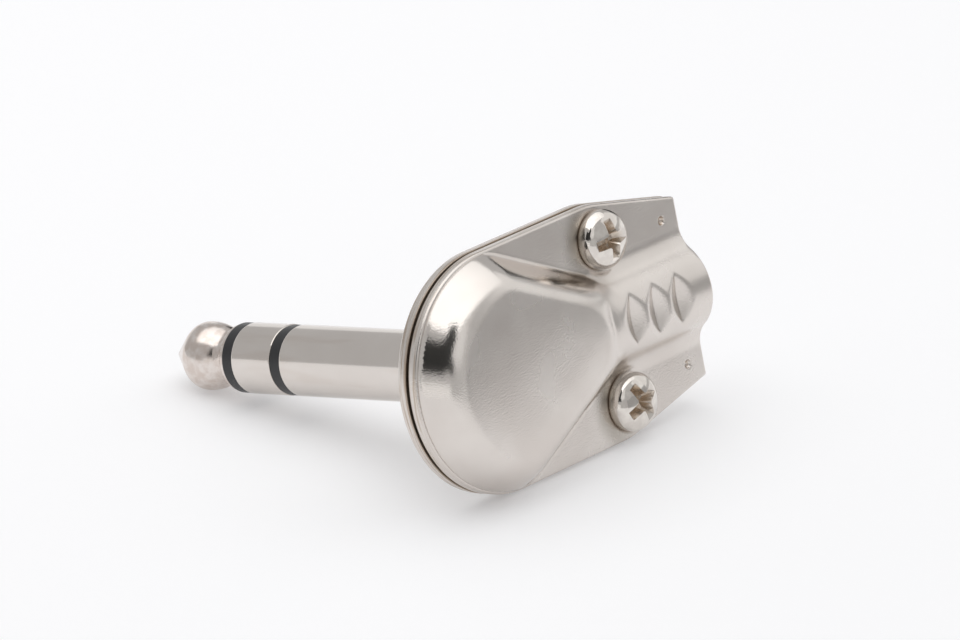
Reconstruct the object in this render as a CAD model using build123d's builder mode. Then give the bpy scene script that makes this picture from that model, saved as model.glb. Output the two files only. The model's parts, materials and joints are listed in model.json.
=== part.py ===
from build123d import *
from math import acos, asin, atan2, cos, degrees, hypot, radians, sin, tan
import os

# A low-profile right-angle jack plug with three poles, for a 6.35 mm jack, in millimetres.
#
# Its finger is a stack of turned contacts and insulators on one centre rod. The finger is
# staked in a stamped back plate. A drawn sheet cover closes the solder lugs in, and its
# toothed channel and the plate's channel grip the cable when the two screws are tightened.
#
# Every piece is drawn in the plug's own frame: the finger runs down the Z axis, Z = 0 is the
# plate's face on the finger's side, and X points to where the cable leaves. The last lines
# turn the finished pieces to the pose in which the plug lies on a table.

# Finger, from the shoulder that seats on the jack out to the tip
barrel_radius = 3.175
shoulder_radius = 4.4
shoulder_length = 6.0
shoulder_chamfer = 0.3
sleeve_length = 16.0
insulator_length = 1.2
ring_length = 4.8
tip_length = 8.8
insulator_recess = 0.05

# Bulb of the tip, and the waist that the jack's spring drops into
bulb_radius = 3.08
bulb_from_apex = 4.33
bulb_front_rounding = 1.6
waist_radius = 2.35
waist_from_bulb = 2.6
tip_rim_radius = 3.0
tip_rim_length = 0.4

# Concentric rod and tubes inside the finger
rod_radius = 0.8
front_tube_wall = 0.3
ring_tube_wall = 0.4
rear_tube_wall = 0.4
fit = 0.05

# Sheets of the housing
plate_thickness = 1.0
cover_thickness = 0.9
sheet_gap = 0.35
plate_edge_chamfer = 0.2

# Outline that both sheets are stamped to
taper_start = 14.1
cable_end = 24.8
cable_end_narrowing = 2.45
taper_rounding = 8.0

# Drawn dome of the cover
dome_height = 3.55
dome_slope = 31.0
nose_from_axis = 7.7
nose_radius = 6.3
dome_side_rounding = 5.0
dome_top_rounding = 1.6

# Channel of the cover and the deeper one of the plate, half-round arches over the cable
channel_inner_radius = 3.5
cover_arch_drop = 1.75
plate_arch_lift = 0.9
channel_blend = 2.5
plate_channel_blend = 1.2
plate_channel_start = 12.5

# Grip dents across the cover's channel
dent_count = 3
first_dent = 15.0
dent_pitch = 3.0
dent_depth = 1.0
dent_dome_side = 1.57
dent_cable_side = 1.07
dent_sweep_radius = 8.0
dent_overrun = 1.5

# Pan-head screws and the seats that they clamp
screw_from_axis = 14.5
screw_from_channel = 3.0
screw_edge_distance = 3.25
screw_radius = 1.5
screw_head_radius = 2.65
screw_head_height = 2.0
screw_head_side = 1.0
screw_point_reach = 1.8
screw_point_chamfer = 0.4
recess_depth = 1.4
recess_width = 1.1
recess_span = 3.9
recess_taper = 20.0
cover_hole_clearance = 0.1
seat_radius = 2.5
tapped_collar_radius = 2.3
tapped_collar_length = 1.2
head_clearance = 0.1

# Punched pips that hold the cover off the plate at the cable end
pip_end_distance = 2.15
pip_edge_distance = 1.6
pip_radius = 0.45
pip_wall = 0.3
pip_depth = 0.35
pip_taper = 35.0

# Staked and riveted stack behind the plate
spigot_radius = 3.0
staked_rim_radius = 3.6
staked_rim_height = 0.4
ring_rim_radius = 2.2
ring_rim_height = 0.3
rod_head_radius = 1.7
rod_head_height = 0.6
washer_thickness = 0.4
washer_radius = 4.1
lug_thickness = 0.4
lug_width = 2.8
ground_lug_radius = 4.4
ring_lug_radius = 3.0
tip_lug_radius = 2.4
lug_hole_radius = 0.6
tip_lug_reach = 9.6
ring_lug_reach = 8.0
ground_lug_reach = 8.6
side_lug_angle = 38.0
liner_thickness = 0.3
liner_clearance = 0.6

# Radii of the nested tubes, each from the one inside it
front_tube_bore = rod_radius + fit
front_tube_radius = front_tube_bore + front_tube_wall
ring_tube_bore = front_tube_radius + fit
ring_tube_radius = ring_tube_bore + ring_tube_wall
rear_tube_bore = ring_tube_radius + fit
rear_tube_radius = rear_tube_bore + rear_tube_wall
sleeve_bore = rear_tube_radius + fit
insulator_radius = barrel_radius - insulator_recess

# Heights along the finger, all below the plate
shoulder_face = -shoulder_length
sleeve_end = shoulder_face - sleeve_length
ring_back = sleeve_end - insulator_length
ring_front = ring_back - ring_length
tip_back = ring_front - insulator_length
apex = tip_back - tip_length
bulb_centre = apex + bulb_from_apex

# Heights of the sheets and of the stack behind the plate
cover_underside = plate_thickness + sheet_gap
flange_top = cover_underside + cover_thickness
dome_top = flange_top + dome_height
dome_ceiling = dome_top - cover_thickness
ground_lug_top = plate_thickness + lug_thickness
staked_rim_top = ground_lug_top + staked_rim_height
inner_washer_top = staked_rim_top + washer_thickness
ring_lug_top = inner_washer_top + lug_thickness
ring_rim_top = ring_lug_top + ring_rim_height
outer_washer_top = ring_rim_top + washer_thickness
tip_lug_top = outer_washer_top + lug_thickness

# Arch of each channel
channel_outer_radius = channel_inner_radius + cover_thickness
plate_channel_outer_radius = channel_inner_radius + plate_thickness
cover_arch_centre = flange_top - cover_arch_drop
channel_top = cover_arch_centre + channel_outer_radius

# Screws beside the channel, the outline's width round them, and the pips at its corners
screw_offset = channel_outer_radius + screw_from_channel
end_radius = screw_offset + screw_edge_distance
cable_end_half_width = end_radius - cable_end_narrowing
pip_from_axis = cable_end - pip_end_distance
pip_offset = cable_end_half_width - pip_edge_distance
screw_places = [(screw_from_axis, screw_offset), (screw_from_axis, -screw_offset)]
pip_places = [(pip_from_axis, pip_offset), (pip_from_axis, -pip_offset)]


def housing_outline():
    """Draw the stamped outline: a half-round end, two parallel sides and a taper."""
    with BuildSketch() as outline:
        with BuildLine():
            CenterArc((0, 0), end_radius, 90, 180)
            FilletPolyline(
                (0, -end_radius),
                (taper_start, -end_radius),
                (cable_end, -cable_end_half_width),
                (cable_end, cable_end_half_width),
                (taper_start, end_radius),
                (0, end_radius),
                radius=[taper_rounding, 0, 0, taper_rounding],
            )
        make_face()
    return outline.sketch


def dome_outline(inset):
    """Draw the dome's base, or a smaller one inside it: a round end and a narrow nose."""
    side_slope = atan2(end_radius, nose_from_axis) - asin(
        nose_radius / hypot(nose_from_axis, end_radius)
    )
    nose_turn = 90 - degrees(side_slope)
    with BuildSketch() as outline:
        with BuildLine():
            CenterArc((0, 0), end_radius, 90, 180)
            nose = CenterArc((nose_from_axis, 0), nose_radius, -nose_turn, 2 * nose_turn)
            Line((0, -end_radius), nose @ 0)
            Line(nose @ 1, (0, end_radius))
        make_face()
        fillet(vertices().group_by(Axis.X)[0], radius=dome_side_rounding)
        if inset:
            offset(amount=-inset)
    return outline.sketch


def channel_profile(arch_radius, sheet_face, blend):
    """Draw the section under the cover's half-round channel, blended into the flat sheet."""
    half_width = (arch_radius + blend + cable_end_half_width) / 2
    with Locations((0, cover_arch_centre)):
        Circle(arch_radius)
    with Locations((0, sheet_face)):
        Rectangle(4 * arch_radius, 4 * arch_radius, align=(Align.CENTER, Align.MAX), mode=Mode.SUBTRACT)
        Rectangle(2 * half_width, cover_thickness, align=(Align.CENTER, Align.MAX))
    creases = vertices().group_by(Axis.Y)[1].sort_by(Axis.X)[1:3]
    fillet(creases, radius=blend)


def dent_punch(place, thickness):
    """Turn one grip dent's punch, grown by the sheet's thickness for the inner side."""
    axis_height = channel_top - dent_depth + dent_sweep_radius
    middle = Plane(origin=(place, 0, axis_height), x_dir=(1, 0, 0), z_dir=(0, -1, 0))
    with BuildSketch(middle) as section:
        with BuildLine():
            Polyline(
                (0, -dent_sweep_radius),
                (dent_cable_side * dent_overrun, dent_depth * dent_overrun - dent_sweep_radius),
                (-dent_dome_side * dent_overrun, dent_depth * dent_overrun - dent_sweep_radius),
                close=True,
            )
        make_face()
        if thickness:
            offset(amount=thickness, kind=Kind.ARC)
    revolve(section.sketch, axis=Axis((place, 0, axis_height), (1, 0, 0)), mode=Mode.SUBTRACT)


def lug_outline(hub_radius, bore_radius, reach, angle):
    """Draw a solder lug: a washer-like hub and a tail with a hole for the wire."""
    tail = reach - lug_width / 2
    Circle(hub_radius)
    with Locations(Rotation(0, 0, angle)):
        with Locations((tail / 2, 0)):
            Rectangle(tail, lug_width)
        with Locations((tail, 0)):
            Circle(lug_width / 2)
            Circle(lug_hole_radius, mode=Mode.SUBTRACT)
    Circle(bore_radius, mode=Mode.SUBTRACT)


def turned_ring(bore, radius, low, high):
    """Add a plain ring or tube round the finger's axis."""
    with BuildSketch(Plane.XY.offset(low)) as section:
        Circle(radius)
        Circle(bore, mode=Mode.SUBTRACT)
    extrude(section.sketch, amount=high - low)


# Tip: a bulb, a waist and a rim, on the centre rod that is riveted over the tip lug
with BuildPart() as tip_contact:
    rounding_centre = bulb_radius - bulb_front_rounding
    nose_angle = atan2(rounding_centre, bulb_from_apex) + asin(
        bulb_front_rounding / hypot(rounding_centre, bulb_from_apex)
    )
    back_radius = (waist_from_bulb**2 + (bulb_radius - waist_radius) ** 2) / (
        2 * (bulb_radius - waist_radius)
    )
    back_turn = asin(waist_from_bulb / back_radius) / 2
    rim_start = tip_back - tip_rim_length
    head_top = tip_lug_top + rod_head_height
    with BuildSketch(Plane.XZ):
        with BuildLine():
            nose = Line(
                (0, apex),
                (
                    rounding_centre + bulb_front_rounding * cos(nose_angle),
                    bulb_centre - bulb_front_rounding * sin(nose_angle),
                ),
            )
            front = ThreePointArc(
                nose @ 1,
                (
                    rounding_centre + bulb_front_rounding * cos(nose_angle / 2),
                    bulb_centre - bulb_front_rounding * sin(nose_angle / 2),
                ),
                (bulb_radius, bulb_centre),
            )
            back = ThreePointArc(
                front @ 1,
                (
                    bulb_radius - back_radius * (1 - cos(back_turn)),
                    bulb_centre + back_radius * sin(back_turn),
                ),
                (waist_radius, bulb_centre + waist_from_bulb),
            )
            shank = Polyline(
                back @ 1,
                (waist_radius, rim_start - (tip_rim_radius - waist_radius)),
                (tip_rim_radius, rim_start),
                (tip_rim_radius, tip_back),
                (rod_radius, tip_back),
                (rod_radius, tip_lug_top),
                (rod_head_radius, tip_lug_top),
                (rod_radius, head_top),
                (0, head_top),
            )
            Line(shank @ 1, nose @ 0)
        make_face()
    revolve(axis=Axis.Z)

# Insulators: a collar at each end of the ring, and the two tubes that carry on inside
with BuildPart() as front_insulator:
    turned_ring(front_tube_radius + fit, insulator_radius, tip_back, ring_front)

with BuildPart() as front_tube:
    turned_ring(front_tube_bore, front_tube_radius, tip_back, ring_rim_top)

with BuildPart() as rear_insulator:
    turned_ring(rear_tube_radius + fit, insulator_radius, ring_back, sleeve_end)

with BuildPart() as rear_tube:
    turned_ring(rear_tube_bore, rear_tube_radius, ring_back, staked_rim_top)

# Ring contact with its tube, whose far end is rolled over the ring lug
with BuildPart() as ring_contact:
    turned_ring(ring_tube_bore, barrel_radius, ring_front, ring_back)
    turned_ring(ring_tube_bore, ring_tube_radius, ring_back, ring_lug_top)
    turned_ring(ring_tube_bore, ring_rim_radius, ring_lug_top, ring_rim_top)

# Sleeve: the barrel, the shoulder that meets the jack and the spigot staked in the plate
with BuildPart() as sleeve:
    turned_ring(sleeve_bore, barrel_radius, sleeve_end, shoulder_face)
    turned_ring(sleeve_bore, shoulder_radius, shoulder_face, 0)
    turned_ring(sleeve_bore, spigot_radius, 0, ground_lug_top)
    turned_ring(sleeve_bore, staked_rim_radius, ground_lug_top, staked_rim_top)
    shoulder_rims = edges().filter_by(GeomType.CIRCLE).sort_by(SortBy.RADIUS)[-2:]
    chamfer(shoulder_rims, length=shoulder_chamfer)

# Solder lugs of the three poles, each clamped by the rim that is rolled over it
with BuildPart() as ground_lug:
    with BuildSketch(Plane.XY.offset(plate_thickness)):
        lug_outline(ground_lug_radius, spigot_radius + fit, ground_lug_reach, -side_lug_angle)
    extrude(amount=lug_thickness)

with BuildPart() as ring_lug:
    with BuildSketch(Plane.XY.offset(inner_washer_top)):
        lug_outline(ring_lug_radius, ring_tube_radius + fit, ring_lug_reach, side_lug_angle)
    extrude(amount=lug_thickness)

with BuildPart() as tip_lug:
    with BuildSketch(Plane.XY.offset(outer_washer_top)):
        lug_outline(tip_lug_radius, rod_radius + fit, tip_lug_reach, 0)
    extrude(amount=lug_thickness)

# Insulating washers between the lugs
with BuildPart() as inner_washer:
    turned_ring(ring_tube_radius + fit, washer_radius, staked_rim_top, inner_washer_top)

with BuildPart() as outer_washer:
    turned_ring(rod_radius + fit, washer_radius, ring_rim_top, outer_washer_top)

# Back plate: a flat stamping with a drawn channel, coined screw seats and tapped collars
with BuildPart() as back_plate:
    with BuildSketch():
        add(housing_outline())
    extrude(amount=plate_thickness)
    side_edges = edges().filter_by(Axis.Z, reverse=True).sort_by(Axis.X)[:-2]
    chamfer(side_edges, length=plate_edge_chamfer)
    with BuildSketch(Plane.YZ.offset(plate_channel_start)):
        with Locations((0, plate_arch_lift)):
            Circle(plate_channel_outer_radius)
        with Locations((0, plate_arch_lift)):
            Rectangle(
                2 * plate_channel_outer_radius,
                plate_channel_outer_radius,
                align=(Align.CENTER, Align.MIN),
                mode=Mode.SUBTRACT,
            )
    extrude(amount=cable_end - plate_channel_start)
    with Locations((plate_channel_start, 0, plate_arch_lift)):
        Sphere(plate_channel_outer_radius, arc_size1=-90, arc_size2=0, align=None)
    back_edges = edges().filter_by_position(Axis.Z, -fit, fit)
    channel_edges = back_edges.filter_by_position(
        Axis.Y, -plate_channel_outer_radius, plate_channel_outer_radius
    )
    back_creases = channel_edges.filter_by_position(Axis.X, 0, cable_end - fit)
    fillet(back_creases, radius=plate_channel_blend)
    with BuildSketch(Plane.YZ.offset(plate_channel_start)):
        with Locations((0, plate_arch_lift)):
            Circle(channel_inner_radius)
    extrude(amount=cable_end - plate_channel_start, mode=Mode.SUBTRACT)
    with Locations((plate_channel_start, 0, plate_arch_lift)):
        Sphere(channel_inner_radius, mode=Mode.SUBTRACT)
    with BuildSketch(Plane.XY.offset(plate_thickness)):
        with Locations(screw_places):
            Circle(seat_radius)
    extrude(amount=sheet_gap)
    with BuildSketch():
        with Locations(screw_places):
            Circle(tapped_collar_radius)
    extrude(amount=-tapped_collar_length)
    with Locations(screw_places):
        Hole(screw_radius + fit)
    Hole(spigot_radius + fit)

# Cover: the space under the sheet first, then the sheet itself round that space
with BuildPart() as cover_hollow:
    wall_shift = cover_thickness * tan(radians(dome_slope))
    wall_across = cover_thickness / cos(radians(dome_slope))
    with BuildSketch(Plane.XY.offset(cover_underside)):
        add(dome_outline(wall_across - wall_shift))
    extrude(amount=dome_ceiling - cover_underside, taper=dome_slope)
    fillet(faces().sort_by(Axis.Z)[-1].edges(), radius=dome_top_rounding - cover_thickness)
    with BuildSketch(Plane.YZ.offset(nose_from_axis)):
        channel_profile(channel_inner_radius, cover_underside, channel_blend + cover_thickness)
    extrude(amount=cable_end - nose_from_axis)
    for number in range(dent_count):
        dent_punch(first_dent + number * dent_pitch, cover_thickness)

with BuildPart() as cover:
    with BuildSketch(Plane.XY.offset(cover_underside)):
        add(housing_outline())
    extrude(amount=cover_thickness)
    with BuildSketch(Plane.XY.offset(flange_top)):
        add(dome_outline(0))
    extrude(amount=dome_height, taper=dome_slope)
    fillet(faces().sort_by(Axis.Z)[-1].edges(), radius=dome_top_rounding)
    with BuildSketch(Plane.YZ.offset(nose_from_axis)):
        channel_profile(channel_outer_radius, flange_top, channel_blend)
    extrude(amount=cable_end - nose_from_axis)
    for number in range(dent_count):
        dent_punch(first_dent + number * dent_pitch, 0)
    with BuildSketch(Plane.XY.offset(flange_top)):
        with Locations(screw_places):
            Circle(screw_head_radius + head_clearance)
    extrude(amount=screw_head_height, mode=Mode.SUBTRACT)
    add(cover_hollow.part, mode=Mode.SUBTRACT)
    with Locations(screw_places):
        Hole(screw_radius + cover_hole_clearance)
    with BuildSketch(Plane.XY.offset(cover_underside)):
        with Locations(pip_places):
            Circle(pip_radius + pip_wall)
    extrude(amount=-sheet_gap)
    with BuildSketch(Plane.XY.offset(flange_top)):
        with Locations(pip_places):
            Circle(pip_radius)
    extrude(amount=-pip_depth, taper=pip_taper, mode=Mode.SUBTRACT)

# Insulating liner against the dome's ceiling, over the riveted head
with BuildPart() as cover_liner:
    ceiling_inset = (dome_ceiling - cover_underside) * tan(radians(dome_slope))
    ceiling_inset += wall_across - wall_shift + liner_clearance
    with BuildSketch(Plane.XY.offset(dome_ceiling - liner_thickness)):
        add(dome_outline(ceiling_inset))
    extrude(amount=liner_thickness)


def make_screw(place):
    """Turn a pan-head screw at its place in the flange and press its cross recess."""
    crown = screw_head_height - screw_head_side
    crown_sphere = (screw_head_radius**2 + crown**2) / (2 * crown)
    crown_turn = asin(screw_head_radius / crown_sphere) / 2
    with BuildPart() as screw:
        with BuildSketch(Plane.XZ):
            with BuildLine():
                side = Polyline(
                    (0, flange_top + screw_head_height),
                    (0, -screw_point_reach),
                    (screw_radius - screw_point_chamfer, -screw_point_reach),
                    (screw_radius, -screw_point_reach + screw_point_chamfer),
                    (screw_radius, flange_top),
                    (screw_head_radius, flange_top),
                    (screw_head_radius, flange_top + screw_head_side),
                )
                ThreePointArc(
                    side @ 1,
                    (
                        crown_sphere * sin(crown_turn),
                        flange_top + screw_head_height - crown_sphere * (1 - cos(crown_turn)),
                    ),
                    side @ 0,
                )
            make_face()
        revolve(axis=Axis.Z)
        with BuildSketch(Plane.XY.offset(flange_top + screw_head_height)):
            Rectangle(recess_span, recess_width)
            Rectangle(recess_width, recess_span)
        extrude(amount=-recess_depth, taper=recess_taper, mode=Mode.SUBTRACT)
    screw.part.position = (place[0], place[1], 0)
    return screw


upper_screw, lower_screw = (make_screw(place) for place in screw_places)

# Pose on a table: the plate's lower edge and the bulb touch it, so the finger dips
edge_above_bulb = end_radius - (bulb_radius - bulb_front_rounding)
edge_from_bulb = plate_edge_chamfer - bulb_centre
edge_to_bulb = hypot(edge_above_bulb, edge_from_bulb)
dip = acos(bulb_front_rounding / edge_to_bulb) - atan2(edge_from_bulb, edge_above_bulb)
rest_pose = Location((0, 0, 0), (90 - degrees(dip), 0, 0)) * Location((0, 0, shoulder_length))

pieces = {
    "tip_contact": tip_contact,
    "front_insulator": front_insulator,
    "front_tube": front_tube,
    "ring_contact": ring_contact,
    "rear_insulator": rear_insulator,
    "rear_tube": rear_tube,
    "sleeve": sleeve,
    "ground_lug": ground_lug,
    "inner_washer": inner_washer,
    "ring_lug": ring_lug,
    "outer_washer": outer_washer,
    "tip_lug": tip_lug,
    "back_plate": back_plate,
    "cover": cover,
    "cover_liner": cover_liner,
    "upper_screw": upper_screw,
    "lower_screw": lower_screw,
}
os.makedirs("parts", exist_ok=True)
for name, piece in pieces.items():
    piece.part.move(rest_pose)
    piece.part.label = name
    export_step(piece.part, f"parts/{name}.step")
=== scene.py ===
# %% [markdown]
# # A low-profile right-angle jack plug
#
# The plug lies on a pale table, on the lower edge of its housing and on the tip of its
# finger. The CAD model gives every piece its size and place. This lesson dresses that model:
# it makes the drawn sheets, the turned contacts and the screws again as fine meshes, gives
# each metal and plastic a finish of its own, and lights the plug as a small product is lit
# in a white tent.

import json
import math

import bmesh
import bpy
import numpy as np
from mathutils import Matrix, Vector
from mathutils.geometry import delaunay_2d_cdt


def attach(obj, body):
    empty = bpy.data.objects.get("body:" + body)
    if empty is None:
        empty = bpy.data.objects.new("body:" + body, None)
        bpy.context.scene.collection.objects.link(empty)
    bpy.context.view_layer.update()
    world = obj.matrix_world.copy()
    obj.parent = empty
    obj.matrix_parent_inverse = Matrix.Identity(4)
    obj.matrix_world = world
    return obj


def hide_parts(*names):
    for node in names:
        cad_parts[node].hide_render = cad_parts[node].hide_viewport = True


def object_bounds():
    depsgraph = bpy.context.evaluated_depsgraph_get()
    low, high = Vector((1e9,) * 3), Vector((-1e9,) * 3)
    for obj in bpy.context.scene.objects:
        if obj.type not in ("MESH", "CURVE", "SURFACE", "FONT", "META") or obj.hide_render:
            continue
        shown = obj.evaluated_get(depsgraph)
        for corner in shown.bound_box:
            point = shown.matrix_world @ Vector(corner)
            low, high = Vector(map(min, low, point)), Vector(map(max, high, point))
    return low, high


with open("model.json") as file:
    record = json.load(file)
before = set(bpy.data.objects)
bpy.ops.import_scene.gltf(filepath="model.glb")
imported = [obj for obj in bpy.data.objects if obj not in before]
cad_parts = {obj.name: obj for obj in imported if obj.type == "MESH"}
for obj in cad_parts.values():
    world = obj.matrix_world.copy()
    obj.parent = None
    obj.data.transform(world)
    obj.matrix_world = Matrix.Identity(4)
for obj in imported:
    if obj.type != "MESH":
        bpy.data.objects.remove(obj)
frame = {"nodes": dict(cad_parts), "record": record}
cad_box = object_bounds()
print("CAD box in mm:", [[round(1000 * c, 2) for c in corner] for corner in cad_box])

# %% [markdown]
# A maker draws a plug in its own frame: the finger runs down the Z axis, Z = 0 is the back
# plate's face, and X points to the cable. The table is another frame, in which the finger
# dips until the tip touches. One matrix takes a point from the drawing, in millimetres, to
# the table, in metres. Every mesh below is drawn in the first frame and put through it, so
# the finished object itself stays at the origin, unturned.

# %% From the plug's drawing to the table
finger_dip = 12.535674
shoulder_length = 6.0
drawing_to_table = (
    Matrix.Scale(0.001, 4)
    @ Matrix.Rotation(math.radians(90 - finger_dip), 4, "X")
    @ Matrix.Translation((0, 0, shoulder_length))
)
sharp_angle = math.radians(40)
print("the finger's axis leaves the plate at", drawing_to_table @ Vector((0, 0, 0)))


def add_piece(name, points, faces, finish, slot, *nodes):
    """Makes a piece from points in the plug's drawing, in the place of the CAD nodes."""
    mesh = bpy.data.meshes.new(name)
    mesh.from_pydata([tuple(p) for p in points], [], [tuple(f) for f in faces])
    mesh.transform(drawing_to_table)
    mesh.materials.append(finish)
    mesh.validate()
    shell = bmesh.new()
    shell.from_mesh(mesh)
    bmesh.ops.recalc_face_normals(shell, faces=shell.faces)
    shell.to_mesh(mesh)
    shell.free()
    mesh.shade_smooth()
    mesh.set_sharp_from_angle(angle=sharp_angle)
    piece = bpy.data.objects.new(name, mesh)
    bpy.context.scene.collection.objects.link(piece)
    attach(piece, "root")
    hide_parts(*nodes)
    print(name, "has", len(mesh.vertices), "points and", len(mesh.polygons), "faces")


# %% [markdown]
# ## Writing a finish
#
# A finish is a small graph of nodes. To keep the graphs readable, a number that varies over
# the surface is wrapped in a class whose plus, minus and times add the Math nodes. Any other
# node comes from one method, which takes the node's type, its settings and its inputs.


# %% A small language for finishes
class Field:
    """A number that varies over a surface: arithmetic on it adds Math nodes."""

    def __init__(self, finish, socket):
        self.finish, self.socket = finish, socket

    def _math(self, operation, *values):
        node = self.finish.node("ShaderNodeMath", {"operation": operation}, dict(enumerate(values)))
        return Field(self.finish, node.outputs[0])

    def __add__(self, other):
        return self._math("ADD", self, other)

    def __sub__(self, other):
        return self._math("SUBTRACT", self, other)

    def __mul__(self, other):
        return self._math("MULTIPLY", self, other)

    def __truediv__(self, other):
        return self._math("DIVIDE", self, other)

    def __rsub__(self, other):
        return self._math("SUBTRACT", other, self)

    __radd__, __rmul__ = __add__, __mul__

    def at_least(self, other):
        return self._math("MAXIMUM", self, other)

    def size(self):
        return self._math("ABSOLUTE", self)

    def ramp(self, low, high):
        """0 below low, 1 above high, and a smooth step between them."""
        settings = {"interpolation_type": "SMOOTHSTEP"}
        inputs = {"Value": self, "From Min": low, "From Max": high}
        node = self.finish.node("ShaderNodeMapRange", settings, inputs)
        return Field(self.finish, node.outputs["Result"])


class Finish:
    """A material with one Principled shader, and helpers that add its nodes."""

    def __init__(self, name, **constants):
        self.material = bpy.data.materials.new(name)
        self.material.use_nodes = True
        self.tree = self.material.node_tree
        self.shader = self.tree.nodes["Principled BSDF"]
        for socket, value in constants.items():
            self.shader.inputs[socket.replace("_", " ")].default_value = value
        self.place = self.node("ShaderNodeTexCoord").outputs["Object"]

    def node(self, kind, settings=None, inputs=None):
        made = self.tree.nodes.new(kind)
        for name, value in (settings or {}).items():
            setattr(made, name, value)
        for name, value in (inputs or {}).items():
            if isinstance(value, Field):
                value = value.socket
            if isinstance(value, bpy.types.NodeSocket):
                self.tree.links.new(value, made.inputs[name])
            else:
                made.inputs[name].default_value = value
        return made

    def along(self, direction, start=(0, 0, 0)):
        """Distance in mm from a point of the drawing along one of its directions."""
        turned = drawing_to_table.to_3x3().normalized() @ Vector(direction)
        origin = drawing_to_table @ Vector(start)
        kind = "ShaderNodeVectorMath"
        away = self.node(kind, {"operation": "SUBTRACT"}, {0: self.place, 1: origin})
        dot = self.node(kind, {"operation": "DOT_PRODUCT"}, {0: away.outputs[0], 1: turned})
        return Field(self, dot.outputs["Value"]) * 1000

    def noise(self, scale, detail=2.0, stretch=None, roughness=0.5):
        place = self.place
        if stretch:
            turn = drawing_to_table.to_euler()
            mapped = self.node(
                "ShaderNodeMapping",
                {"vector_type": "TEXTURE"},
                {"Vector": place, "Rotation": turn, "Scale": stretch},
            )
            place = mapped.outputs["Vector"]
        inputs = {"Vector": place, "Scale": scale, "Detail": detail, "Roughness": roughness}
        return Field(self, self.node("ShaderNodeTexNoise", None, inputs).outputs["Fac"])

    def blend(self, factor, first, second):
        """Mixes two colours."""
        inputs = {"Factor": factor, "A": first, "B": second}
        node = self.node("ShaderNodeMix", {"data_type": "RGBA"}, {})
        for name, value in inputs.items():
            socket = next(s for s in node.inputs if s.name == name and (s.type == "RGBA" or name == "Factor"))
            value = value.socket if isinstance(value, Field) else value
            if isinstance(value, bpy.types.NodeSocket):
                self.tree.links.new(value, socket)
            else:
                socket.default_value = (*value, 1)
        return next(s for s in node.outputs if s.type == "RGBA")

    def feed(self, socket, value):
        value = value.socket if isinstance(value, Field) else value
        self.tree.links.new(value, self.shader.inputs[socket])

    def bump(self, height, distance, strength=1.0):
        """Lets a height, from 0 to 1, stand out by a distance in mm."""
        inputs = {"Height": height, "Distance": distance / 1000, "Strength": strength}
        self.feed("Normal", self.node("ShaderNodeBump", None, inputs).outputs["Normal"])


print("a varying number also has:", ", ".join(name for name in vars(Field) if name[0] != "_"))

# %% [markdown]
# ## Nickel
#
# The housing is steel sheet that was drawn in a press and then nickel plated, so it keeps a
# satin grain, and the walls that slid through the die are smoother than the flat faces. One
# roughness for all of it would be simpler, but then the walls wouldn't mirror as they do. So
# the height over the flange and the way along the channel tell where the metal is satin. On
# the dome's side of each screw the flange gets painted shade: a painted shadow at the head's
# seat and a wider painted reflection of the head's dark side, both set by the distance to the
# screw. The sheets' edges are browner the nearer they lie to the seam between them.

# %% The housing's plated sheet
plate_face = 1.0
cover_underside = 1.35
flange_top = 2.25
seam_height = 1.15
screw_x, screw_y = 14.5, 7.4

housing_nickel = Finish("housing_nickel", Metallic=1.0)
grain = housing_nickel.noise(6500, 3)
cloud = housing_nickel.noise(160, 3)
above_flange = housing_nickel.along((0, 0, 1), (0, 0, flange_top))
on_face = above_flange.ramp(2.3, 3.4)
on_flange = 1 - above_flange.ramp(0.05, 0.5)
on_channel = housing_nickel.along((1, 0, 0)).ramp(9, 13)
flat = on_face.at_least(on_flange).at_least(on_channel)
above_seam = housing_nickel.along((0, 0, 1), (0, 0, seam_height))
sheared = 1 - above_seam.size().ramp(0.12, 0.42)
layers = housing_nickel.noise(5200, 3, stretch=(25, 25, 1)).ramp(0.5, 0.62)
layers = layers * above_seam.ramp(-1.15, -1.0) * (1 - above_seam.ramp(0.9, 1.05))
beside = housing_nickel.along((1, 0, 0), (screw_x, 0, 0))
across = housing_nickel.along((0, 1, 0)).size() - screw_y
from_screw = beside * beside + across * across
# Painted reflection: the flange on the dome's side of each screw is darkened, as if it mirrored the head's
# dark side.
painted_screw_reflection = (1 - from_screw.ramp(7, 24)) * (0 - beside).ramp(-1, 3) * cloud.ramp(0.2, 0.6)
# Painted shadow: a thin dark ring round each head's seat, on the dome's side.
painted_seat_shadow = (1 - from_screw.ramp(7.1, 8.8)) * (0 - beside).ramp(-1, 1.5)
nickel = housing_nickel.blend(cloud.ramp(0.3, 0.7), (0.67, 0.62, 0.58), (0.73, 0.685, 0.645))
nickel = housing_nickel.blend(painted_screw_reflection * 0.65, nickel, (0.30, 0.27, 0.22))
nickel = housing_nickel.blend(painted_seat_shadow * 0.8, nickel, (0.22, 0.17, 0.13))
nickel = housing_nickel.blend(layers * 0.6, nickel, (0.42, 0.32, 0.23))
nickel = housing_nickel.blend(sheared * 0.8, nickel, (0.36, 0.27, 0.19))
housing_nickel.feed("Base Color", nickel)
housing_nickel.feed("Roughness", 0.09 + cloud * 0.04 + flat * 0.16 + sheared * 0.2)
housing_nickel.bump(grain * (0.75 + flat * 0.35 + sheared * 2), 0.011)
print("the housing's finish has", len(housing_nickel.tree.nodes), "nodes")

# %% [markdown]
# The contacts were turned in a lathe before they were plated. They shine more than the sheet,
# fine rings run round them, and faint streaks run along them from going in and out of jacks.
# Rings and streaks are both noise, stretched round the finger or along it, so nothing has to
# be painted. The tip has its own finish, duller and mottled by a noise that isn't stretched.

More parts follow.
